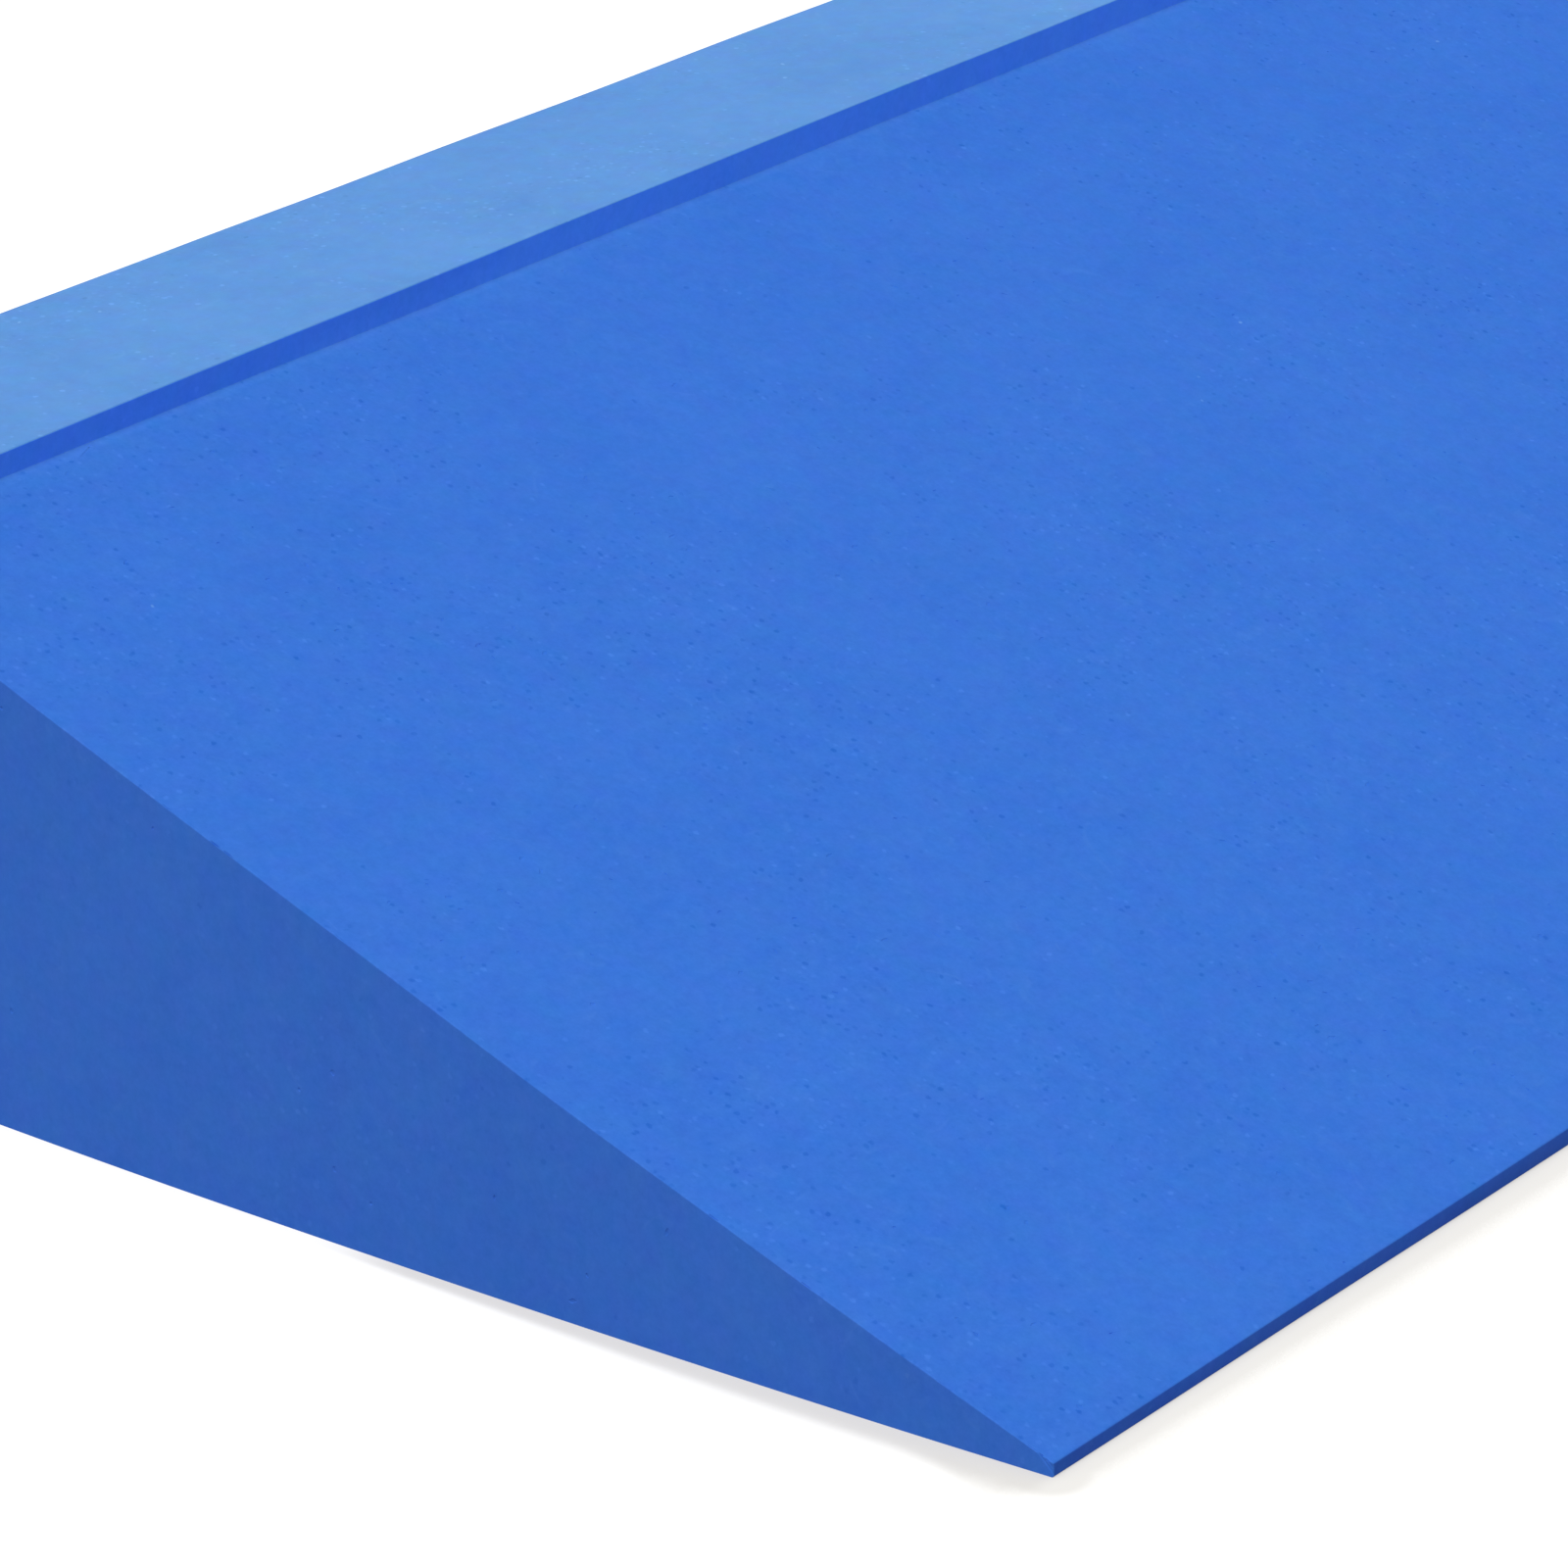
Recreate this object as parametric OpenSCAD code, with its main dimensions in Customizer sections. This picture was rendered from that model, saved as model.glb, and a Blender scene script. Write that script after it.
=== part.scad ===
// Yoga wedge: one solid block of closed-cell foam. A long ramp rises from a
// blunt front edge to the foot of a low step, and behind the step a level
// ledge runs along the thick back. Each end is a cut that bulges a little.
//
// X runs along the wedge, Y from the thin front to the thick back, Z up.
// The origin is under the middle of the block, on the surface it rests on.

/* [Block] */
// Overall length, over the bulge of both cut ends
wedge_length = 508; // [250:1:900]
// Overall depth, from the thin front edge to the thick back
wedge_depth = 152.4; // [120:0.1:260]
// Overall height, at the ledge
wedge_height = 50.8; // [25:0.1:100]

/* [Ramp] */
// Height of the blunt front edge
toe_height = 1.6; // [0.8:0.1:8]

/* [Ledge] */
// Depth of the level ledge, from its step to the back
ledge_depth = 25.4; // [10:0.1:60]
// Height of the step from the top of the ramp up to the ledge
step_height = 2.8; // [1:0.1:8]

/* [Cut ends] */
// How far each end bulges outwards at the middle of the depth
end_bow = 2; // [0.5:0.1:6]

/* [Edges] */
// Radius of the eased edges that run along the wedge
edge_radius = 0.4; // [0.1:0.1:2]
// Radius that the cut leaves at the foot of the step
root_radius = 0.3; // [0.1:0.1:2]

/* [Hidden] */

// Straight pieces that stand for one rounded edge, and for a whole bow circle
round_steps = 6;
bow_facets = 1440;

// The largest share of a narrow face that a round at one of its edges may use
face_share = 0.45;

// Lengths cut off beyond the block, so that no two faces lie on each other
cut_margin = 1;

// Places and heights in the cross-section
front_y = -wedge_depth / 2;
back_y = wedge_depth / 2;
step_y = back_y - ledge_depth;
ramp_top_z = wedge_height - step_height;

// Radii at the two narrow faces, which their edges share
toe_round = min(edge_radius, toe_height * face_share);
step_round = min(edge_radius, step_height * face_share);
root_round = min(root_radius, step_height * face_share);

// Corners of the cross-section, anticlockwise, each as [[Y, Z], radius]
corners = [
    [[front_y, 0], toe_round],
    [[back_y, 0], edge_radius],
    [[back_y, wedge_height], edge_radius],
    [[step_y, wedge_height], step_round],
    [[step_y, ramp_top_z], root_round],
    [[front_y, toe_height], toe_round]
];

// Radius of an end face's arc, from its chord across the depth and its bulge
bow_radius = (pow(wedge_depth / 2, 2) + pow(end_bow, 2)) / (2 * end_bow);

// Unit vector from one point towards another
function direction(from, to) = (to - from) / norm(to - from);

// A vector turned anticlockwise by an angle
function turned(v, angle) = [
    v.x * cos(angle) - v.y * sin(angle),
    v.x * sin(angle) + v.y * cos(angle)
];

// Points of the arc that replaces a sharp corner, from the side of the point
// before it to the side of the point after it
function rounded(before, corner, after, radius) =
    let (
        to_before = direction(corner, before),
        to_after = direction(corner, after),
        half_angle = acos(to_before * to_after) / 2,
        inwards = direction([0, 0], to_before + to_after),
        centre = corner + inwards * radius / sin(half_angle),
        first_spoke = corner + to_before * radius / tan(half_angle) - centre,
        sweep = (180 - 2 * half_angle) * sign(cross(to_after, to_before))
    )
    [for (i = [0 : round_steps]) centre + turned(first_spoke, sweep * i / round_steps)];

// Cross-section across the wedge, with Y to the right and Z up
module section() {
    count = len(corners);
    polygon([
        for (i = [0 : count - 1]) each rounded(
            corners[(i + count - 1) % count][0],
            corners[i][0],
            corners[(i + 1) % count][0],
            corners[i][1]
        )
    ]);
}

// Plan of the space between the two cut ends: two large discs, each of which
// reaches one end of the overall length at the middle of the depth
module between_ends() {
    disc_x = bow_radius - wedge_length / 2;
    intersection() {
        translate([disc_x, 0]) circle(r = bow_radius, $fn = bow_facets);
        translate([-disc_x, 0]) circle(r = bow_radius, $fn = bow_facets);
    }
}

// The foam block: the section drawn out along X, then cut to length
module wedge() {
    color("royalblue")
        intersection() {
            rotate([90, 0, 90])
                linear_extrude(height = wedge_length + 2 * cut_margin, center = true)
                    section();
            translate([0, 0, -cut_margin])
                linear_extrude(height = wedge_height + 2 * cut_margin)
                    between_ends();
        }
}

wedge();
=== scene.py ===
"""Looks of a foam yoga wedge: its cut block, its finishes, and the stage that shows it."""

import logging
import math
import random
from collections.abc import Callable, Iterator
from contextlib import contextmanager
from dataclasses import dataclass, field
from enum import Enum

import bmesh
import bpy
import numpy as np
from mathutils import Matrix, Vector, noise


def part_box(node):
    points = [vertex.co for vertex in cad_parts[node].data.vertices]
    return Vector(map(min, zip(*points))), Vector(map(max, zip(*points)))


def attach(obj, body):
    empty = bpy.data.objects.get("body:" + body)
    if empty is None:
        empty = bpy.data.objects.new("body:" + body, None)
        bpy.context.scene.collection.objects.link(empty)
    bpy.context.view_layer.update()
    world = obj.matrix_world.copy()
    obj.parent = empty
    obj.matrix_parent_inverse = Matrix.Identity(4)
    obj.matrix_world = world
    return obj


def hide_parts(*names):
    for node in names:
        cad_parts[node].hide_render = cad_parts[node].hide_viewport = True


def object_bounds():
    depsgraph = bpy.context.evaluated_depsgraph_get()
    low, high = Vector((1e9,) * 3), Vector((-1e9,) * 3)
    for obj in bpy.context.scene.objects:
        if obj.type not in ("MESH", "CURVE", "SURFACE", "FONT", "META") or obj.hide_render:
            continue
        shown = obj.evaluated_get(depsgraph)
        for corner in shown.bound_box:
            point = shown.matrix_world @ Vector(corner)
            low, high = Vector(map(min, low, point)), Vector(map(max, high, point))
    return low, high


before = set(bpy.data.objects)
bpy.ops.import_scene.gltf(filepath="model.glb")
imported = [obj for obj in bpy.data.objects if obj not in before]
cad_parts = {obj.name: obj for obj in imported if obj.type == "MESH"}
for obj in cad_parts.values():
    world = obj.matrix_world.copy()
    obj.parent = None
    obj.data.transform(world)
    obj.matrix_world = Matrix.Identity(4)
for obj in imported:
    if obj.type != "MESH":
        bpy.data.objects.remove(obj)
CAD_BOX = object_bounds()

LOG = logging.getLogger("yoga_wedge")
MM = 0.001
Colour = tuple[float, float, float]
Socket = bpy.types.NodeSocket

# The curve between light and the steps of a display, and the light that the foam's gloss adds
DISPLAY_STEPS = 255
DISPLAY_SCALE = 1.055
DISPLAY_POWER = 2.4
GLOSS_LIGHT = 0.012

# A cloudy noise: its middle, its standard deviation, and the levels that nearly all of it lies
# between
CLOUD_MIDDLE = 0.5
CLOUD_SPREAD = 0.12
CLOUD_LEVELS = (0.2, 0.8)

# How far off each noise is read, in metres, so that no two of one size coincide
PIT_SHADE_SHIFT = 0.0
SPECK_SHIFT = 0.3
TINGE_SHIFT = 0.5
HAIR_SHIFT = 0.7

# Where a mark starts and is full, in radii, and the power that leaves most of the marks faint
MARK_EDGE = (1.25, 0.55)
MARK_FAINTNESS = 2.0

# The size of the loose crowds that the painted pit shade and the specks gather in, the levels of
# the noise between which a crowd fades in, and the share of the marks that the open ground between
# crowds keeps
CROWD_SIZE = 26 * MM
CROWD_LEVELS = (0.42, 0.62)
CROWD_LEAST = 0.06

# A hair: the full middle's share of its width, the size of its pieces as a share of its curves,
# and the levels between which a piece fades in
HAIR_CORE = 0.3
HAIR_PIECE = 0.45
HAIR_LEVELS = (0.63, 0.68)

# The colour of lint, and how much paler each part of the foam's colour is painted within two
# distances of the root of the step, as painted light against the shade in the root
LINT: Colour = (0.27, 0.56, 0.92)
ROOT_PAINTED_LIGHT = ((4.5 * MM, (0.18, 0.14, 0.0)), (1.2 * MM, (0.45, 0.22, 0.12)))

# The least part of a face's normal along an axis when the face is square to the axis, faces that
# way, leans that way or tends that way, and the most of it when the face stands along the axis
SQUARE = 0.99
FACING = 0.9
LEANING = 0.7
TENDING = 0.5
ALONG = 0.1


class Zone(Enum):
    """The parts of the block's surface, each with a finish of its own."""

    RAMP = "ramp"
    LEDGE = "ledge"
    STEP = "step"
    TOE = "toe"
    END = "end"
    RIM = "rim"
    BACK = "back"
    BASE = "base"


def deselect_all() -> None:
    """Deselects every object, so that an operator acts on the next one alone."""
    for other in bpy.context.selected_objects:
        other.select_set(False)


def activate(piece: bpy.types.Object) -> None:
    """Makes one object the only selected one, and the active one.

    Args:
        piece: The object.
    """
    deselect_all()
    piece.select_set(True)
    bpy.context.view_layer.objects.active = piece


@contextmanager
def editing(piece: bpy.types.Object) -> Iterator[None]:
    """Holds an object in edit mode, in which the mesh operators work.

    Args:
        piece: The object.

    Yields:
        Nothing, once the object is in edit mode.
    """
    activate(piece)
    bpy.ops.object.mode_set(mode="EDIT")
    try:
        yield
    finally:
        bpy.ops.object.mode_set(mode="OBJECT")


def pick_faces(piece: bpy.types.Object, wanted: Callable[[bmesh.types.BMFace], bool]) -> None:
    """Selects the faces that pass a test, in edit mode.

    Args:
        piece: The object in edit mode.
        wanted: The test that each face is put to.
    """
    bpy.ops.mesh.select_mode(type="FACE")
    bpy.ops.mesh.select_all(action="DESELECT")
    mesh = bmesh.from_edit_mesh(piece.data)
    mesh.normal_update()
    for face in filter(wanted, mesh.faces):
        face.select_set(True)
    bmesh.update_edit_mesh(piece.data)


def pick_edges(piece: bpy.types.Object, wanted: Callable[[bmesh.types.BMEdge], bool]) -> None:
    """Selects the edges that pass a test, in edit mode.

    Args:
        piece: The object in edit mode.
        wanted: The test that each edge is put to.
    """
    bpy.ops.mesh.select_mode(type="EDGE")
    bpy.ops.mesh.select_all(action="DESELECT")
    mesh = bmesh.from_edit_mesh(piece.data)
    for edge in filter(wanted, mesh.edges):
        edge.select_set(True)
    bmesh.update_edit_mesh(piece.data)


def draw_out(way: tuple[float, float, float]) -> None:
    """Extrudes the selected faces and moves them, in edit mode."""
    bpy.ops.mesh.extrude_region_move(TRANSFORM_OT_translate={"value": way})


def inner_points(mesh: bmesh.types.BMesh) -> list[bmesh.types.BMVert]:
    """Lists the points inside the selected patches, in an order that is the same in every run.

    Args:
        mesh: The mesh in edit mode.

    Returns:
        The points whose faces are all selected, in order of place.
    """
    picked = (vert for vert in mesh.verts if vert.select)
    inner = [vert for vert in picked if all(face.select for face in vert.link_faces)]
    return sorted(inner, key=lambda vert: tuple(vert.co))


def ring_about(middle: bmesh.types.BMVert) -> list[bmesh.types.BMVert]:
    """Lists the other corners of the faces about a point, in order of place."""
    ring = {vertex for face in middle.link_faces for vertex in face.verts} - {middle}
    return sorted(ring, key=lambda vert: tuple(vert.co))


@dataclass(frozen=True)
class MarkKind:
    """How one kind of small mark lies on the foam, and how ragged it is, in metres."""

    spacing: float
    radius: float
    swirl_size: float
    swirl_reach: float


@dataclass
class NodeSketch:
    """Adds and links the nodes of one material."""

    tree: bpy.types.NodeTree

    def node(self, kind: str, sockets: dict | None = None, **settings: object) -> bpy.types.Node:
        """Adds a node.

        Args:
            kind: The node's type in Blender.
            sockets: Input names or numbers, each with a value or a socket to link.
            settings: The node's own settings.

        Returns:
            The new node.
        """
        made = self.tree.nodes.new(kind)
        for name, value in settings.items():
            setattr(made, name, value)
        for name, value in (sockets or {}).items():
            if isinstance(value, bpy.types.NodeSocket):
                self.tree.links.new(value, made.inputs[name])
            else:
                made.inputs[name].default_value = value
        return made

    def math(self, operation: str, first: Socket | float, second: Socket | float = 0.0) -> Socket:
        """Calculates a number from one or two others, by an operation of the Math node."""
        sockets = {0: first, 1: second}
        return self.node("ShaderNodeMath", sockets, operation=operation).outputs[0]

    def vector(self, operation: str, *values: Socket | Colour) -> Socket:
        """Calculates a vector or colour from others, by an operation of the Vector Math node."""
        sockets = dict(enumerate(values))
        return self.node("ShaderNodeVectorMath", sockets, operation=operation).outputs[0]

    def fade(
        self,
        value: Socket,
        start: float,
        end: Socket | float,
        low: float = 0.0,
        high: float = 1.0,
    ) -> Socket:
        """Turns a value into a smooth fade between two levels.

        Args:
            value: The value that drives the fade.
            start: Where the fade is still at its low level.
            end: Where it has reached its high level.
            low: The level at the start.
            high: The level at the end.

        Returns:
            The faded value's socket.
        """
        sockets = {
            "Value": value,
            "From Min": start,
            "From Max": end,
            "To Min": low,
            "To Max": high,
        }
        return self.node("ShaderNodeMapRange", sockets, interpolation_type="SMOOTHSTEP").outputs[0]

    def blend(self, share: Socket, first: Socket | Colour, second: Socket | Colour) -> Socket:
        """Blends two colours.

        Args:
            share: The second colour's share.
            first: A colour or a colour socket.
            second: A colour or a colour socket.

        Returns:
            The blended colour's socket.
        """
        from_colour, to_colour = (
            colour if isinstance(colour, bpy.types.NodeSocket) else (*colour, 1.0)
            for colour in (first, second)
        )
        # The Mix node's sockets for colours come after those for numbers and vectors
        sockets = {0: share, 6: from_colour, 7: to_colour}
        return self.node("ShaderNodeMix", sockets, data_type="RGBA").outputs[2]

    def cloud(self, place: Socket, size: float, detail: float = 2.0, rough: float = 0.5) -> Socket:
        """Makes soft cloudy noise, of clouds of one size in metres, with finer layers on them."""
        sockets = {"Vector": place, "Scale": 1 / size, "Detail": detail, "Roughness": rough}
        return self.node("ShaderNodeTexNoise", sockets).outputs[0]

    def swing(self, value: Socket, spread: float) -> Socket:
        """Centres a cloudy noise on 0 and gives it a chosen standard deviation."""
        centred = self.math("SUBTRACT", value, CLOUD_MIDDLE)
        return self.math("MULTIPLY", centred, spread / CLOUD_SPREAD)

    def moved(self, place: Socket, offset: float) -> Socket:
        """Moves coordinates off along all three axes, so that two noises don't coincide."""
        return self.vector("ADD", place, (offset,) * 3)

    def swirl(self, place: Socket, size: float, reach: float) -> Socket:
        """Makes three cloudy noises at once, each centred on 0.

        Args:
            place: The coordinates, in metres.
            size: The size of one cloud, in metres.
            reach: What the noises are multiplied by.

        Returns:
            The socket of a vector that holds the three.
        """
        sockets = {"Vector": place, "Scale": 1 / size, "Detail": 1.0}
        clouds = self.node("ShaderNodeTexNoise", sockets).outputs[1]
        return self.vector("MULTIPLY_ADD", clouds, (reach,) * 3, (-reach * CLOUD_MIDDLE,) * 3)

    def warped(self, place: Socket, kind: MarkKind) -> Socket:
        """Shifts coordinates to and fro, so that round marks of one kind become ragged."""
        return self.vector("ADD", place, self.swirl(place, kind.swirl_size, 2 * kind.swirl_reach))

    def marks(self, place: Socket, kind: MarkKind, share: Socket | float) -> Socket:
        """Scatters small separate marks.

        Args:
            place: The warped coordinates, in metres.
            kind: The marks' spacing and radius.
            share: The share of the places that hold a mark.

        Returns:
            The mask's socket, up to 1 inside a mark, and less in a fainter one.
        """
        cells = self.node("ShaderNodeTexVoronoi", {"Vector": place, "Scale": 1 / kind.spacing})
        start, full = (edge * kind.radius / kind.spacing for edge in MARK_EDGE)
        inside = self.fade(cells.outputs["Distance"], start, full)
        draws = self.node("ShaderNodeSeparateColor", {0: cells.outputs["Color"]}).outputs
        held = self.math("MULTIPLY", inside, self.math("LESS_THAN", draws[0], share))
        return self.math("MULTIPLY", held, self.math("POWER", draws[1], MARK_FAINTNESS))

    def hairs(self, place: Socket, size: float, width: float) -> Socket:
        """Draws a few short fine hairs, each a piece of a cloud's contour line.

        Args:
            place: The coordinates, in metres.
            size: The size of the curves, in metres.
            width: The width of a hair, in metres.

        Returns:
            The mask's socket, 1 on a hair.
        """
        centred = self.math("SUBTRACT", self.cloud(place, size, 0.0), CLOUD_MIDDLE)
        contour = self.math("ABSOLUTE", centred)
        line = self.fade(contour, width / size, HAIR_CORE * width / size)
        pieces = self.cloud(self.moved(place, HAIR_SHIFT), HAIR_PIECE * size, 0.0)
        return self.math("MULTIPLY", line, self.fade(pieces, *HAIR_LEVELS))


TORN = MarkKind(spacing=0.9 * MM, radius=0.28 * MM, swirl_size=0.4 * MM, swirl_reach=0.19 * MM)
FLECK = MarkKind(spacing=3.2 * MM, radius=0.24 * MM, swirl_size=0.9 * MM, swirl_reach=0.3 * MM)


@dataclass(frozen=True)
class FoamFinish:
    """Closed-cell foam: its colour and the marks that its making leaves in it.

    The colour is linear and lengths are in metres. Drift, mottle and speckle are standard
    deviations, and with the strengths of the painted pit shade and of the specks they are in steps
    of a 255-step display, so that they show alike in a deep and in a pale colour. The root light
    line is the Y of the step's root at mid length, and how fast the root bends away from it with
    the square of X. Along it painted light makes the colour paler, against the shade in the root.
    """

    name: str
    colour: Colour
    drift: float = 0.7
    drift_size: float = 17 * MM
    mottle: float = 1.15
    mottle_size: float = 2.8 * MM
    speckle: float = 2.0
    speckle_size: float = 0.95 * MM
    speckle_rough: float = 0.85
    # Painted pit shade: the share of places that hold a dark pit mark, and how many steps darker
    pit_shade_share: float = 0.65
    pit_shade_steps: float = 11.0
    speck_share: float = 0.50
    speck_steps: float = 9.5
    lint_share: float = 0.06
    lint_shade: float = 0.32
    hair_shade: float = 0.020
    hair_size: float = 5 * MM
    hair_width: float = 0.15 * MM
    root_light_line: tuple[float, float] | None = None
    grain: float = 0.0025 * MM
    roughness: float = 0.78
    roughness_swing: float = 0.06
    specular: float = 0.12

    def step(self) -> Colour:
        """Finds how little of a colour shows.

        Returns:
            The change in each part of the colour that moves a display by one step.
        """
        slope = DISPLAY_POWER / DISPLAY_SCALE / DISPLAY_STEPS
        power = 1 - 1 / DISPLAY_POWER
        return tuple(slope * (part + GLOSS_LIGHT) ** power for part in self.colour)

    def pattern(
        self,
        sketch: NodeSketch,
        place: Socket,
        fine: Socket,
        pit_shade: Socket,
        specks: Socket,
    ) -> Socket:
        """Draws the foam's cells, clouds, specks and painted pit shade in its colour.

        Args:
            sketch: The material's nodes.
            place: The coordinates, in metres.
            fine: The noise of the finest cells.
            pit_shade: The mask of the painted shade of small pits.
            specks: The mask of the pale specks.

        Returns:
            The colour's socket.
        """
        # Painted shade: small pits are drawn darker in the colour, and pale specks lighter
        marks = sketch.math(
            "SUBTRACT",
            sketch.math("MULTIPLY", specks, self.speck_steps),
            sketch.math("MULTIPLY", pit_shade, self.pit_shade_steps),
        )
        clouds = sketch.math(
            "ADD",
            sketch.swing(fine, self.speckle),
            sketch.swing(sketch.cloud(place, self.drift_size, 1.0), self.drift),
        )
        grey = sketch.math("ADD", clouds, marks)
        reach = self.mottle / CLOUD_SPREAD
        tinge = sketch.swirl(sketch.moved(place, TINGE_SHIFT), self.mottle_size, reach)
        steps = sketch.vector("ADD", grey, tinge)
        return sketch.vector("MULTIPLY_ADD", steps, self.step(), self.colour)

    def painted_root_light(self, sketch: NodeSketch, place: Socket, colour: Socket) -> Socket:
        """Paints light along the root of the step, making the colour paler against the shade there.

        Args:
            sketch: The material's nodes.
            place: The coordinates, in metres.
            colour: The colour so far.

        Returns:
            The colour's socket, paler within a few millimetres of the root.
        """
        root, bend = self.root_light_line
        x, y, _ = sketch.node("ShaderNodeSeparateXYZ", {0: place}).outputs
        level = sketch.math("ADD", y, sketch.math("MULTIPLY", sketch.math("MULTIPLY", x, x), bend))
        lift = (1.0, 1.0, 1.0)
        for reach, share in ROOT_PAINTED_LIGHT:
            near = sketch.fade(level, root - reach, root)
            lift = sketch.vector("MULTIPLY_ADD", near, share, lift)
        return sketch.vector("MULTIPLY", colour, lift)

    def torn_marks(self, sketch: NodeSketch, place: Socket) -> tuple[Socket, Socket]:
        """Scatters the painted pit shade and the pale specks, in the same loose crowds.

        Args:
            sketch: The material's nodes.
            place: The coordinates, in metres.

        Returns:
            The sockets of the painted pit shade's mask and of the specks' mask.
        """
        crowd = sketch.fade(sketch.cloud(place, CROWD_SIZE), *CROWD_LEVELS, CROWD_LEAST)
        ragged = sketch.warped(place, TORN)
        return tuple(
            sketch.marks(sketch.moved(ragged, shift), TORN, sketch.math("MULTIPLY", crowd, share))
            for shift, share in ((PIT_SHADE_SHIFT, self.pit_shade_share), (SPECK_SHIFT, self.speck_share))
        )

    def lint(self, sketch: NodeSketch, place: Socket) -> Socket:
        """Scatters flecks of lint and a few hairs.

        Args:
            sketch: The material's nodes.
            place: The coordinates, in metres.

        Returns:
            The socket of the lint's share in the colour.
        """
        flecks = sketch.marks(sketch.warped(place, FLECK), FLECK, self.lint_share)
        hairs = sketch.hairs(place, self.hair_size, self.hair_width)
        return sketch.math(
            "MAXIMUM",
            sketch.math("MULTIPLY", flecks, self.lint_shade),
            sketch.math("MULTIPLY", hairs, self.hair_shade),
        )

    def build(self) -> bpy.types.Material:
        """Makes the material.

        Returns:
            The material, with its pattern on Object coordinates.
        """
        material = bpy.data.materials.new(self.name)
        material.use_nodes = True
        sketch = NodeSketch(material.node_tree)
        shader = material.node_tree.nodes["Principled BSDF"]
        place = sketch.node("ShaderNodeTexCoord").outputs["Object"]

        fine = sketch.cloud(place, self.speckle_size, rough=self.speckle_rough)
        colour = self.pattern(sketch, place, fine, *self.torn_marks(sketch, place))
        # Painted light along the root of the step, against the shade that falls there
        if self.root_light_line:
            colour = self.painted_root_light(sketch, place, colour)
        colour = sketch.blend(self.lint(sketch, place), colour, LINT)
        sketch.tree.links.new(colour, shader.inputs["Base Color"])

        smoothest = self.roughness - self.roughness_swing
        roughest = self.roughness + self.roughness_swing
        roughness = sketch.fade(fine, *CLOUD_LEVELS, smoothest, roughest)
        sketch.tree.links.new(roughness, shader.inputs["Roughness"])
        shader.inputs["Specular IOR Level"].default_value = self.specular

        height = sketch.math("MULTIPLY", fine, self.grain)
        bump = sketch.node("ShaderNodeBump", {"Height": height, "Strength": 1.0, "Distance": 1.0})
        sketch.tree.links.new(bump.outputs[0], shader.inputs["Normal"])
        return material


CUT = FoamFinish("foam_cut_face", (0.0371, 0.1690, 0.6710), root_light_line=(52.9 * MM, 0.0452))
SAWN = FoamFinish(
    "foam_cut_end",
    (0.0434, 0.1718, 0.6890),
    speckle=1.8,
    pit_shade_share=0.08,
    pit_shade_steps=7.0,
    speck_share=0.18,
    speck_steps=7.0,
)
# The worn rim: paler and speckled, partly frayed wear and partly a painted highlight on the edge
RIM = FoamFinish(
    "foam_worn_edge_and_painted_highlight",
    (0.0420, 0.1760, 0.6900),
    speckle=3.0,
    speck_steps=16.0,
    lint_share=0.3,
)
SKIN = FoamFinish(
    "foam_skin",
    (0.0850, 0.2750, 0.6720),
    drift=1.6,
    mottle=1.6,
    speckle=2.6,
    pit_shade_share=0.20,
    speck_share=0.80,
    speck_steps=17.0,
    lint_share=0.22,
    lint_shade=0.80,
    hair_shade=0.05,
    grain=0.003 * MM,
    roughness=0.6,
    specular=0.2,
)
# The step's riser: paler and bluer than the ramp, painted light for what the ramp bounces onto it
KERF_PAINTED_BOUNCE = FoamFinish("foam_step_kerf_painted_bounce", (0.0540, 0.2350, 0.9500), pit_shade_share=0.04, speck_share=0.1)
# The thin front face: darker than the ramp, painted shade where the toe sits low by the floor
TIP_PAINTED_SHADE = FoamFinish("foam_front_tip_painted_shade", (0.0260, 0.1090, 0.5500), pit_shade_share=0.05, speck_share=0.1)

ZONES = list(Zone)
FINISHES: dict[Zone, FoamFinish] = {
    Zone.RAMP: CUT,
    Zone.LEDGE: SKIN,
    Zone.STEP: KERF_PAINTED_BOUNCE,
    Zone.TOE: TIP_PAINTED_SHADE,
    Zone.END: SAWN,
    Zone.RIM: RIM,
    Zone.BACK: SAWN,
    Zone.BASE: SKIN,
}
# How often the cut tears a cell open in each zone that is cut, against the ramp
TORN_SHARES = {Zone.RAMP: 1.0, Zone.END: 0.1, Zone.BACK: 0.1}


@dataclass(frozen=True)
class Crown:
    """How far a line along the wedge bows out from its ends to its middle.

    The size is in metres. The rest is the share of the bow at which the line lies where the frame
    has it.
    """

    size: float
    rest: float

    def change(self, share: np.ndarray) -> np.ndarray:
        """Gives how far the line moves, by the share of the bow that each place has."""
        return self.size * (share - self.rest)


@dataclass(frozen=True)
class Tearing:
    """How often the cut tears a cell open: seldom on open ground, and often in a crowd.

    The room is the least area of a face that may hold a torn cell, in mesh cells. The layer is a
    finer noise on the crowds' own. The lift is added to both, and the span is where a crowd is
    full.
    """

    seldom: float = 0.03
    often: float = 0.45
    room: float = 0.8
    layer_scale: float = 2.3
    layer_strength: float = 0.6
    lift: float = 0.05
    span: float = 0.4

    def chance(self, spot: Vector) -> float:
        """Gives the chance that a cell is torn open.

        Args:
            spot: The cell's middle, in metres.

        Returns:
            The chance on the ramp, where most cells are torn.
        """
        place = spot / CROWD_SIZE
        level = noise.noise(place) + self.layer_strength * noise.noise(self.layer_scale * place)
        crowd = min(1.0, max(0.0, (level + self.lift) / self.span))
        return self.seldom + (self.often - self.seldom) * crowd**2


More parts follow.
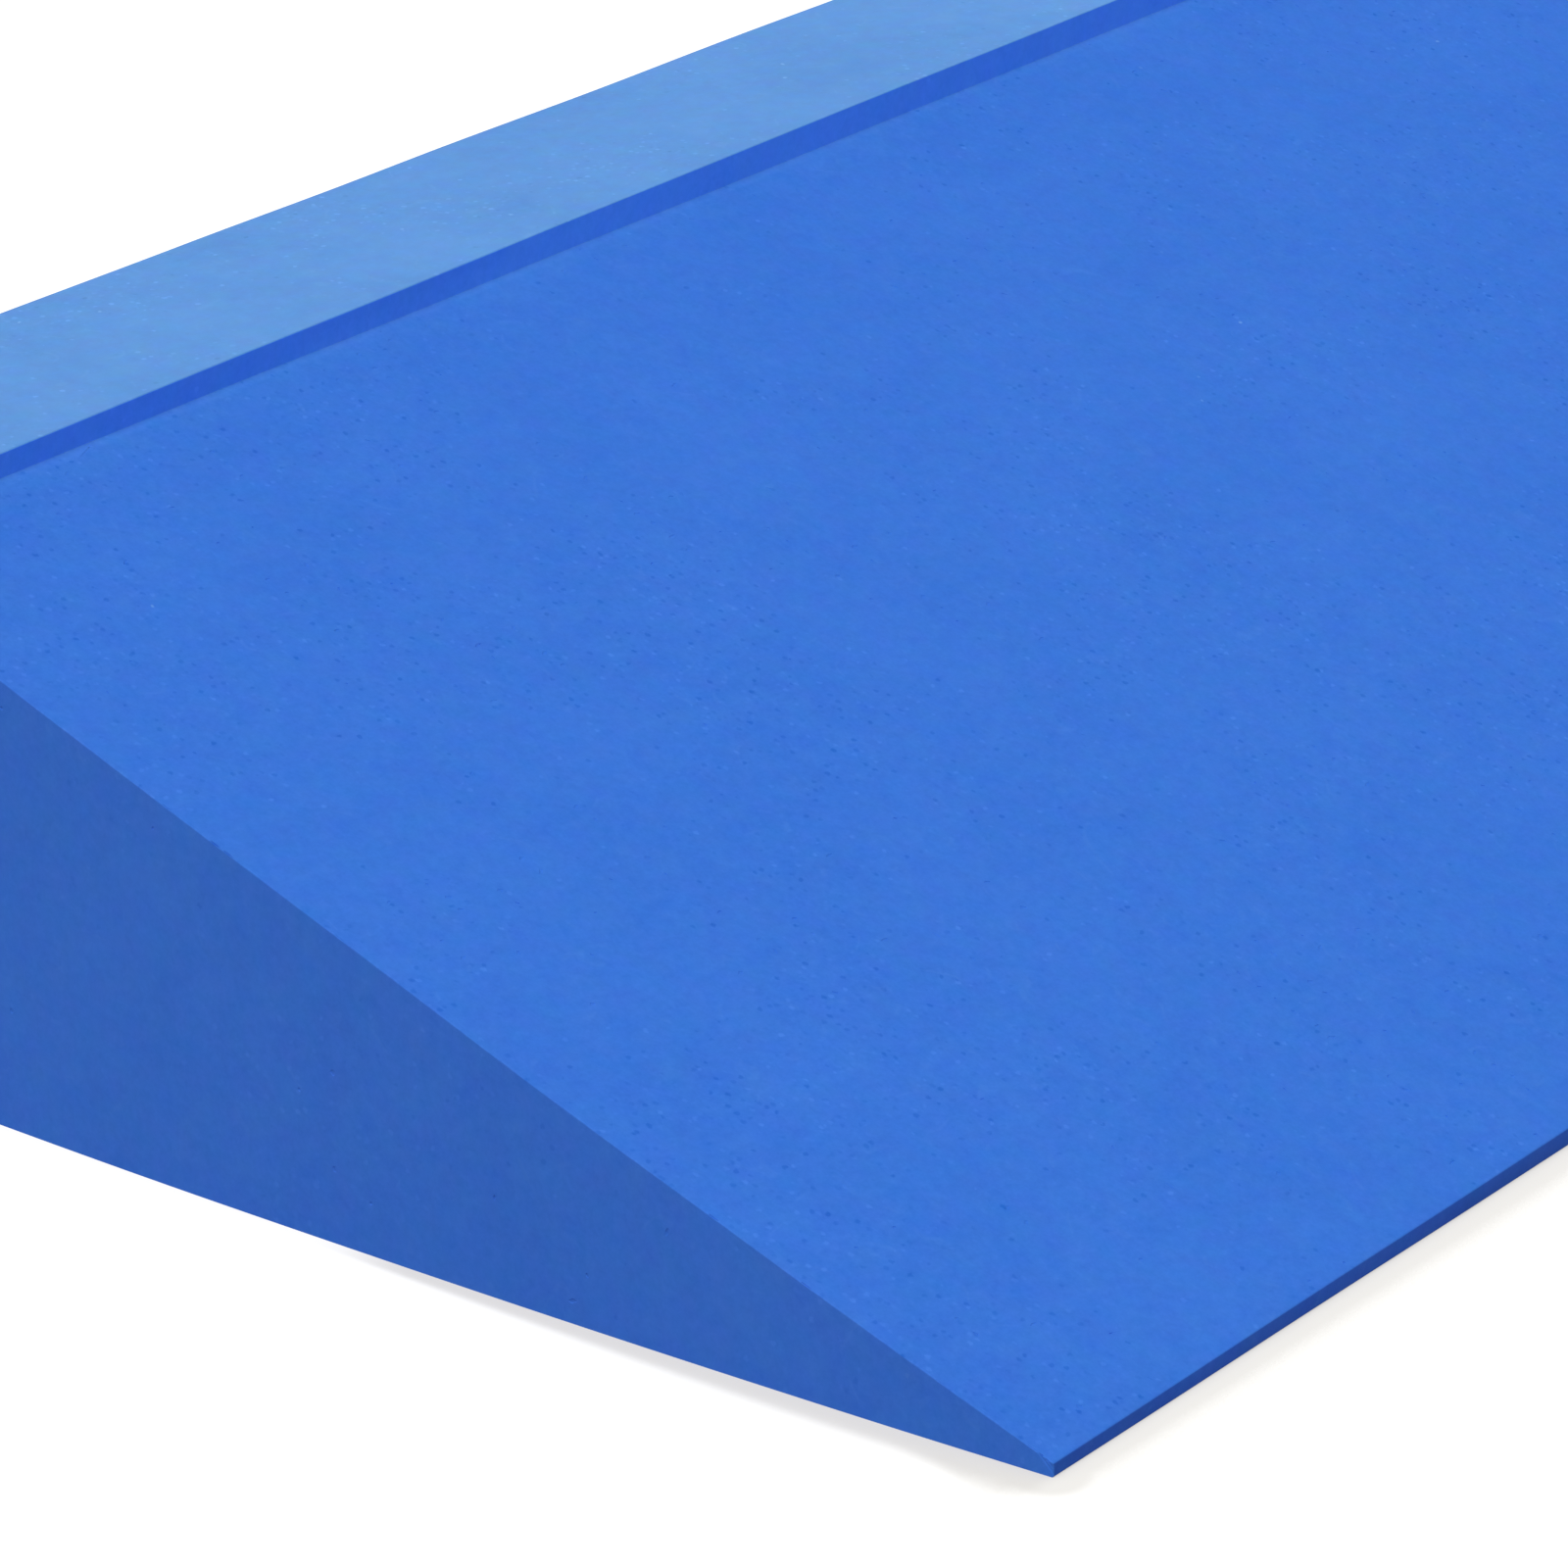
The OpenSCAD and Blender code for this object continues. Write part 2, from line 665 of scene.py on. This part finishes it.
@dataclass(frozen=True)
class TornCell:
    """A cell of the foam that the cut has torn open, and the ranges that chance draws from.

    The radius, depth and lip are in metres. The inset and the wander are shares of a mesh cell,
    the sizes and the outline are shares of the radius, the floor is a share of the mouth, and the
    bowl is a share of the depth.
    """

    radius: float = 0.28 * MM
    depth: float = 0.045 * MM
    lip: float = 0.02 * MM
    floor: float = 0.7
    inset: float = 0.38
    wander: float = 0.13
    sizes: tuple[float, float] = (0.5, 1.2)
    outline: tuple[float, float] = (0.75, 1.20)
    stretches: tuple[float, float] = (1.0, 1.6)
    bowl: tuple[float, float] = (1.1, 1.8)


@dataclass
class FoamWedge:
    """The block of foam, cut to a ramp with a level ledge along its back.

    Lengths are in metres, and the smooth angle is in degrees. X runs along the wedge and Y from
    its thin front to its thick back. The rim's tilt is how much of a face's normal lies along X
    where a rim starts and where the flat end does. A deep nick is a multiple of the usual one.
    """

    low: Vector
    high: Vector
    toe_height: float = 1.6 * MM
    ledge_depth: float = 25.4 * MM
    step_height: float = 2.8 * MM
    end_bow: float = 2.0 * MM
    edge_radius: float = 0.15 * MM
    root_radius: float = 0.05 * MM
    cell: float = 1.9 * MM
    end_rows: int = 3
    seed: int = 7
    toe_crown: Crown = Crown(0.86 * MM, 0.41)
    step_crown: Crown = Crown(1.0 * MM, 0.66)
    ledge_crown: Crown = Crown(2.87 * MM, 0.27)
    ramp_swell: float = 0.25 * MM
    wave: float = 0.10 * MM
    wave_size: float = 26 * MM
    wave_shifts: tuple[float, float, float] = (9.3, 21.5, 37.9)
    rim_chamfer: float = 0.10 * MM
    rim_cuts: int = 3
    rim_nick: float = 0.04 * MM
    rim_tilt: tuple[float, float] = (0.2, 0.93)
    deep_nick: tuple[float, float] = (1.5, 4.0)
    deep_nick_chance: float = 0.08
    pit: TornCell = TornCell()
    tearing: Tearing = Tearing()
    sliver: float = 0.003 * MM
    smooth_angle: float = 15.0
    piece: bpy.types.Object = field(init=False)

    def __post_init__(self) -> None:
        """Works out the places in the cross-section that the rest needs."""
        self.front_y, self.back_y = self.low.y, self.high.y
        self.step_y = self.back_y - self.ledge_depth
        self.ramp_top = self.high.z - self.step_height
        self.length = self.high.x - self.low.x - 2 * self.end_bow
        self.ramp_run = self.step_y - self.front_y
        self.ramp_normal = Vector((0, self.toe_height - self.ramp_top, self.ramp_run)).normalized()

    def cut_block(self) -> None:
        """Cuts the ramp from a box, then draws the ledge out behind it and up."""
        deselect_all()
        middle = (0, (self.front_y + self.step_y) / 2, self.ramp_top / 2)
        bpy.ops.mesh.primitive_cube_add(size=1, location=middle)
        self.piece = bpy.context.active_object
        self.piece.name = self.piece.data.name = "wedge_foam"
        self.piece.scale = (self.length, self.ramp_run, self.ramp_top)
        bpy.ops.object.transform_apply(location=True, rotation=True, scale=True)
        with editing(self.piece):
            bpy.ops.mesh.select_all(action="SELECT")
            bpy.ops.mesh.bisect(
                plane_co=(0, self.front_y, self.toe_height),
                plane_no=self.ramp_normal,
                use_fill=True,
                clear_outer=True,
            )
            pick_faces(self.piece, lambda face: face.normal.y > FACING)
            draw_out((0, self.ledge_depth, 0))
            pick_faces(self.piece, lambda face: face.normal.z > SQUARE)
            draw_out((0, 0, self.step_height))
            pick_edges(self.piece, self.is_seam)
            bpy.ops.mesh.dissolve_edges(use_verts=True)

    def is_seam(self, edge: bmesh.types.BMEdge) -> bool:
        """Tells an edge between two faces in one plane, left where a face was drawn out."""
        return len(edge.link_faces) == 2 and edge.calc_face_angle(0) < math.radians(1)

    def is_along(self, edge: bmesh.types.BMEdge) -> bool:
        """Tells an edge that runs along most of the wedge."""
        return abs(edge.verts[0].co.x - edge.verts[1].co.x) > self.length / 2

    def is_root(self, edge: bmesh.types.BMEdge) -> bool:
        """Tells the edge along the root of the step.

        Args:
            edge: The edge.

        Returns:
            Whether it runs along the root.
        """
        corner = edge.verts[0].co
        off_root = math.hypot(corner.y - self.step_y, corner.z - self.ramp_top)
        return self.is_along(edge) and off_root < self.edge_radius / 2

    def is_outer(self, edge: bmesh.types.BMEdge) -> bool:
        """Tells a sharp outer edge along the wedge from those that an earlier round left."""
        sharp = edge.is_convex and edge.calc_face_angle(0) > math.radians(60)
        return sharp and self.is_along(edge) and not self.is_root(edge)

    def ease_edges(self) -> None:
        """Rounds the edges that run along the wedge."""
        with editing(self.piece):
            for radius, wanted in (
                (self.root_radius, self.is_root),
                (self.edge_radius, self.is_outer),
            ):
                pick_edges(self.piece, wanted)
                bpy.ops.mesh.bevel(offset=radius, segments=3, profile=0.5, affect="EDGES")

    def divide(self) -> None:
        """Divides the faces into cells small enough to shape, and the ends and back into rows."""
        depth = self.back_y - self.front_y
        rows = round(depth / self.cell)
        columns = round(self.length / self.cell)
        edges_y = (self.front_y, self.step_y, self.back_y)
        places_y = [
            y
            for y in (self.front_y + depth * row / rows for row in range(1, rows))
            if min(abs(y - edge) for edge in edges_y) > 2 * self.edge_radius
        ]
        steepness = (self.ramp_top - self.toe_height) / self.ramp_run
        on_ramp = [y for y in places_y if y < self.step_y]
        with editing(self.piece):
            for y in places_y:
                pick_faces(self.piece, lambda face: face.normal.z > -FACING)
                bpy.ops.mesh.bisect(plane_co=(0, y, 0), plane_no=(0, 1, 0))
            for y in on_ramp[self.end_rows - 1 :: self.end_rows]:
                z = self.toe_height + (y - self.front_y) * steepness
                pick_faces(self.piece, lambda face: max(abs(face.normal.x), face.normal.y) > FACING)
                bpy.ops.mesh.bisect(plane_co=(0, 0, z), plane_no=(0, 0, 1))
            pick_edges(self.piece, self.is_along)
            bpy.ops.mesh.subdivide(number_cuts=columns - 1)

    def is_rim(self, edge: bmesh.types.BMEdge) -> bool:
        """Tells an edge between an end and the top or tip of the wedge.

        Args:
            edge: The edge.

        Returns:
            Whether the edge belongs to a rim that is worn.
        """
        if len(edge.link_faces) != 2 or edge.calc_length() < self.cell / 2:
            return False
        normals = (face.normal for face in edge.link_faces)
        side, end = sorted(normals, key=lambda normal: abs(normal.x))
        on_tip = side.y < -FACING and edge.verts[0].co.z < 2 * self.toe_height
        meets_end = abs(end.x) > FACING and abs(side.x) < ALONG
        return meets_end and (side.z > TENDING or on_tip)

    def wear_rims(self) -> None:
        """Chamfers the top and tip edges of both ends, and nicks the chamfer here and there."""
        draw = random.Random(self.seed + 1)
        with editing(self.piece):
            pick_edges(self.piece, self.is_rim)
            bpy.ops.mesh.subdivide(number_cuts=self.rim_cuts)
            bpy.ops.mesh.bevel(offset=self.rim_chamfer, segments=2, profile=0.5, affect="EDGES")
            mesh = bmesh.from_edit_mesh(self.piece.data)
            middle = inner_points(mesh)
            LOG.info("worn rim: %d points", len(middle))
            for vertex in middle:
                deep = draw.random() < self.deep_nick_chance
                nick = draw.uniform(*self.deep_nick) if deep else draw.uniform(0.0, 1.0)
                vertex.co -= vertex.normal * (self.rim_nick * nick)
            bmesh.update_edit_mesh(self.piece.data)

    def zone(self, normal: Vector, centre: Vector) -> Zone:
        """Names the part of the surface that a face belongs to.

        Args:
            normal: The face's outward normal.
            centre: The face's centre.

        Returns:
            The zone.
        """
        rim_from, rim_to = self.rim_tilt
        if abs(normal.x) > rim_from:
            return Zone.END if abs(normal.x) > rim_to else Zone.RIM
        if normal.z < -LEANING:
            return Zone.BASE
        if normal.y > LEANING:
            return Zone.BACK
        if normal.y < -FACING:
            return Zone.TOE if centre.z < 2 * self.toe_height else Zone.STEP
        return Zone.LEDGE if centre.y > self.step_y else Zone.RAMP

    def mark_zones(self) -> None:
        """Gives each zone its finish."""
        for zone in Zone:
            self.piece.data.materials.append(material_of(FINISHES[zone]))
        for face in self.piece.data.polygons:
            face.material_index = ZONES.index(self.zone(face.normal, face.center))

    def let_go(self) -> None:
        """Gives the block the small changes that foam takes on when it is cut and springs back.

        The ends bulge at mid depth, and the ramp swells a little between toe and step. Towards
        the middle of the length the front edge is a little higher, the step a little taller, and
        the ledge a little narrower.
        """
        mesh = self.piece.data
        place = np.empty(3 * len(mesh.vertices))
        mesh.vertices.foreach_get("co", place)
        x, y, z = place.reshape(-1, 3).T.copy()
        bow = 1 - (2 * x / self.length) ** 2
        toe_change, step_change, ledge_change = (
            crown.change(bow) for crown in (self.toe_crown, self.step_crown, self.ledge_crown)
        )

        share = np.clip((y - self.front_y) / self.ramp_run, 0, 1)
        foot = self.ramp_top - step_change
        flat_ramp = self.toe_height + (self.ramp_top - self.toe_height) * share
        let_ramp = (self.toe_height + toe_change) * (1 - share) + foot * share
        let_ramp += 4 * self.ramp_swell * share * (1 - share)
        on_ramp = (share < 1) | (z <= self.ramp_top)
        step_share = (self.high.z - z) / self.step_height
        let_step = self.high.z - step_share * (self.high.z - foot)
        raised = np.where(on_ramp, z * let_ramp / flat_ramp, let_step)
        z = np.where(y > self.step_y + self.edge_radius / 10, z, raised)

        behind = np.clip((self.back_y - y) / self.ledge_depth, 0, 1)
        y = y + ledge_change * np.where(share < 1, share, behind)

        across = 2 * y / (self.back_y - self.front_y)
        x = x * (1 + 2 * self.end_bow * (1 - across**2) / self.length)
        mesh.vertices.foreach_set("co", np.column_stack((x, y, z)).ravel())
        mesh.update()

    def roughen(self) -> None:
        """Leaves the faint waves of the cut on every face but the one it rests on."""
        mesh = self.piece.data
        for vertex in mesh.vertices:
            place = vertex.co / self.wave_size
            places = (place + Vector((shift,) * 3) for shift in self.wave_shifts)
            waves = Vector(noise.noise(shifted) for shifted in places) * self.wave
            waves.z *= min(1.0, vertex.co.z / (4 * self.toe_height))
            vertex.co += waves
        mesh.update()

    def open_cells(self) -> None:
        """Opens the cells that the cut has torn, in loose crowds on the ramp, ends and back."""
        draw = random.Random(self.seed)
        least_area = self.tearing.room * self.cell**2
        torn = set()
        for face in sorted(self.piece.data.polygons, key=lambda face: tuple(face.center)):
            share = TORN_SHARES.get(ZONES[face.material_index], 0.0)
            if share and face.area > least_area:
                if draw.random() < share * self.tearing.chance(face.center):
                    torn.add(face.index)
        LOG.info("torn cells: %d", len(torn))
        inset = self.pit.inset * self.cell
        with editing(self.piece):
            pick_faces(self.piece, lambda face: face.index in torn and len(face.verts) == 4)
            bpy.ops.mesh.inset(thickness=inset, use_individual=True, use_even_offset=True)
            bpy.ops.mesh.subdivide(number_cuts=1)
            self.make_ragged(draw)
            draw_out((0, 0, 0))
            self.sink_floors(draw)

    def make_ragged(self, draw: random.Random) -> None:
        """Gives each selected small patch the outline of a torn cell, in edit mode.

        Args:
            draw: The source of chance.
        """
        mesh = bmesh.from_edit_mesh(self.piece.data)
        mesh.normal_update()
        pit = self.pit
        reach = pit.wander * self.cell
        for middle in inner_points(mesh):
            normal = middle.normal.copy()
            arms = (edge.other_vert(middle).co - middle.co for edge in middle.link_edges)
            side = min(arms, key=tuple).normalized()
            other = normal.cross(side)
            centre = middle.co + side * draw.uniform(-reach, reach)
            centre += other * draw.uniform(-reach, reach)
            radius = pit.radius * draw.uniform(*pit.sizes)
            lean = draw.uniform(0, 2 * math.pi)
            long_side = side * math.cos(lean) + other * math.sin(lean)
            stretch = draw.uniform(*pit.stretches)
            for vertex in ring_about(middle):
                arm = (vertex.co - middle.co).normalized() * radius * draw.uniform(*pit.outline)
                reach_along = arm.dot(long_side)
                along = long_side * reach_along
                lip = normal * pit.lip * max(0.0, reach_along / radius)
                vertex.co = centre + along * stretch + (arm - along) / stretch + lip
            middle.co = centre
        bmesh.update_edit_mesh(self.piece.data)

    def sink_floors(self, draw: random.Random) -> None:
        """Sinks and narrows the floor of each torn cell, in edit mode.

        Args:
            draw: The source of chance.
        """
        mesh = bmesh.from_edit_mesh(self.piece.data)
        mesh.normal_update()
        for middle in inner_points(mesh):
            down = -middle.normal * self.pit.depth
            for vertex in ring_about(middle):
                vertex.co = middle.co.lerp(vertex.co, self.pit.floor) + down
            middle.co += down * draw.uniform(*self.pit.bowl)
        bmesh.update_edit_mesh(self.piece.data)

    def clear_slivers(self) -> None:
        """Joins points that all but coincide, and splits faces of many corners into triangles."""
        with editing(self.piece):
            bpy.ops.mesh.select_all(action="SELECT")
            bpy.ops.mesh.dissolve_degenerate(threshold=self.sliver)
            pick_faces(self.piece, lambda face: len(face.verts) > 4)
            bpy.ops.mesh.quads_convert_to_tris(quad_method="BEAUTY", ngon_method="BEAUTY")

    def build(self) -> bpy.types.Object:
        """Makes the whole block and reports it to the frame.

        Returns:
            The finished piece.
        """
        self.cut_block()
        self.ease_edges()
        self.divide()
        self.wear_rims()
        self.mark_zones()
        self.let_go()
        self.roughen()
        self.open_cells()
        self.clear_slivers()
        activate(self.piece)
        bpy.ops.object.shade_smooth_by_angle(angle=math.radians(self.smooth_angle))
        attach(self.piece, "root")
        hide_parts("wedge")
        LOG.info("%s: %d faces", self.piece.name, len(self.piece.data.polygons))
        return self.piece


def material_of(finish: FoamFinish) -> bpy.types.Material:
    """Makes a finish's material once, and gives it again when it is asked for again."""
    return bpy.data.materials.get(finish.name) or finish.build()


@dataclass(frozen=True)
class ContactShade:
    """The soft grey painted shadow that the floor's glow shows where the wedge stands on it.

    Lengths and places along Y are in metres. A pair holds the two places, or the two levels,
    that a value fades between on its way to the thin front. The reach is how far the line goes
    from the wedge: at the back, at the front, and what the tip adds.
    """

    glow: Colour = (0.453, 0.433, 0.397)
    start: tuple[float, float] = (-2.5 * MM, -14 * MM)
    start_share: float = 0.2
    run: tuple[float, float] = (12 * MM, -70 * MM)
    tip: tuple[float, float] = (-62 * MM, -78 * MM)
    reach: tuple[float, float, float] = (1.7 * MM, 4.5 * MM, 1.5 * MM)
    least: float = 0.997
    full: tuple[float, float] = (0.740, 0.970)
    corner: tuple[float, float] = (3.7 * MM, 2.1 * MM)
    front_share: float = 0.75
    front_blur: float = 1 * MM
    samples: int = 16

    def share(self, sketch: NodeSketch) -> Socket:
        """Finds where the wedge stands close over the floor, more widely towards its thin front.

        Args:
            sketch: The floor material's nodes.

        Returns:
            The socket of the contact's share, 0 on the open floor.
        """
        place = sketch.node("ShaderNodeTexCoord").outputs["Object"]
        across, depth, _ = sketch.node("ShaderNodeSeparateXYZ", {0: place}).outputs
        least, most, more = self.reach
        reach = sketch.fade(depth, *self.run, least, most)
        reach = sketch.math("ADD", reach, sketch.fade(depth, *self.tip, 0.0, more))
        sockets = {"Distance": reach}
        hidden = sketch.node("ShaderNodeAmbientOcclusion", sockets, samples=self.samples)
        full = sketch.fade(depth, *self.tip, *self.full)
        share = sketch.fade(hidden.outputs["AO"], self.least, full)
        start = sketch.fade(depth, *self.start, self.start_share)
        share = sketch.math("MULTIPLY", share, start)
        share = sketch.math("MAXIMUM", share, self.corner_share(sketch, across, depth))
        front, blur = CAD_BOX[0][1], self.front_blur
        ahead = sketch.fade(depth, front + blur, front - blur, 1.0, self.front_share)
        return sketch.math("MULTIPLY", share, ahead)

    def corner_share(self, sketch: NodeSketch, across: Socket, depth: Socket) -> Socket:
        """Rounds the painted shadow off about the wedge's two front corners.

        Args:
            sketch: The floor material's nodes.
            across: The place along X.
            depth: The place along Y.

        Returns:
            The socket of the contact's share near a corner.
        """
        side = sketch.math("ABSOLUTE", across)
        spot = sketch.node("ShaderNodeCombineXYZ", {0: side, 1: depth}).outputs[0]
        corner = (CAD_BOX[1][0] - FoamWedge.end_bow, CAD_BOX[0][1], 0)
        gap = sketch.node("ShaderNodeVectorMath", {0: spot, 1: corner}, operation="DISTANCE")
        return sketch.fade(gap.outputs["Value"], *self.corner)


@dataclass
class Stage:
    """The pale floor, the soft studio light and the camera.

    Lengths are in metres and angles in degrees.
    """

    sky: float = 0.59
    sky_shown: float = 1.0
    key: float = 0.50
    key_from: tuple[float, float, float] = (-0.39, 0.0, 0.92)
    key_softness: float = 28.0
    floor_size: float = 30.0
    floor_glow: Colour = (0.780, 0.772, 0.745)
    floor_tone: float = 0.35
    floor_bounce: float = 0.36
    contact: ContactShade = ContactShade()
    camera_place: tuple[float, float, float] = (-0.67292, -0.36958, 0.26960)
    camera_azimuth: float = -52.795
    camera_dip: float = 22.410
    camera_nearest: float = 10 * MM
    lens: float = 170.78
    sensor: float = 36.0

    def seen_share(self, sketch: NodeSketch) -> Socket:
        """Gives 1 to a ray that shows something, straight or in a gloss, and 0 to one that lights.

        Args:
            sketch: The nodes of a material or of the sky.

        Returns:
            The share's socket.
        """
        path = sketch.node("ShaderNodeLightPath").outputs
        straight = sketch.math("MAXIMUM", path["Is Camera Ray"], path["Is Transmission Ray"])
        return sketch.math("MAXIMUM", straight, path["Is Glossy Ray"])

    def add_floor(self) -> None:
        """Lays a floor that looks white, keeps the shadow and throws back part of the light."""
        deselect_all()
        bpy.ops.mesh.primitive_plane_add(size=self.floor_size)
        floor = bpy.context.active_object
        floor.name = floor.data.name = "studio_floor"
        material = bpy.data.materials.new("studio_floor")
        material.use_nodes = True
        sketch = NodeSketch(material.node_tree)
        output = material.node_tree.nodes["Material Output"]
        # Painted shadow: the floor's glow turns to the contact colour where the wedge stands close
        glow = sketch.blend(self.contact.share(sketch), self.floor_glow, self.contact.glow)
        lit = sketch.node("ShaderNodeBsdfDiffuse", {"Color": (*(self.floor_tone,) * 3, 1)})
        shining = sketch.node("ShaderNodeEmission", {"Color": glow, "Strength": 1.0})
        shown = sketch.node("ShaderNodeAddShader", {0: lit.outputs[0], 1: shining.outputs[0]})
        bounce = sketch.node("ShaderNodeBsdfDiffuse", {"Color": (*(self.floor_bounce,) * 3, 1)})
        sockets = {0: self.seen_share(sketch), 1: bounce.outputs[0], 2: shown.outputs[0]}
        mixed = sketch.node("ShaderNodeMixShader", sockets)
        sketch.tree.links.new(mixed.outputs[0], output.inputs["Surface"])
        floor.data.materials.append(material)

    def add_light(self) -> None:
        """Lights the set with an even sky and one large soft lamp from above the left end."""
        world = bpy.data.worlds.new("studio_sky")
        bpy.context.scene.world = world
        world.use_nodes = True
        sketch = NodeSketch(world.node_tree)
        background = world.node_tree.nodes["Background"]
        strength = sketch.fade(self.seen_share(sketch), 0.0, 1.0, self.sky, self.sky_shown)
        sketch.tree.links.new(strength, background.inputs["Strength"])
        background.inputs["Color"].default_value = (1, 1, 1, 1)
        deselect_all()
        bpy.ops.object.light_add(type="SUN", location=self.key_from)
        lamp = bpy.context.active_object
        lamp.name = lamp.data.name = "key_lamp"
        lamp.rotation_euler = Vector(self.key_from).to_track_quat("Z", "Y").to_euler()
        lamp.data.energy = self.key * math.pi
        lamp.data.angle = math.radians(self.key_softness)

    def add_camera(self) -> None:
        """Sets up the camera."""
        deselect_all()
        turn = (math.radians(90 - self.camera_dip), 0, math.radians(self.camera_azimuth))
        bpy.ops.object.camera_add(location=self.camera_place, rotation=turn)
        camera = bpy.context.active_object
        camera.name = camera.data.name = "studio_camera"
        camera.data.sensor_width = self.sensor
        camera.data.lens = self.lens
        camera.data.clip_start = self.camera_nearest
        bpy.context.scene.camera = camera

    def build(self) -> None:
        """Sets up the whole stage, with colours shown as they are written."""
        self.add_floor()
        self.add_light()
        self.add_camera()
        bpy.context.scene.view_settings.view_transform = "Standard"


def main() -> None:
    """Builds the wedge and its stage, and notes the wedge part's box."""
    logging.basicConfig(level=logging.INFO, format="%(name)s: %(message)s")
    low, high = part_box("wedge")
    Stage().build()
    piece = FoamWedge(low, high).build()
    corners = (tuple(round(value, 4) for value in corner) for corner in (low, high))
    LOG.info("built %s from %s to %s", piece.name, *corners)


if __name__ == "__main__":
    main()
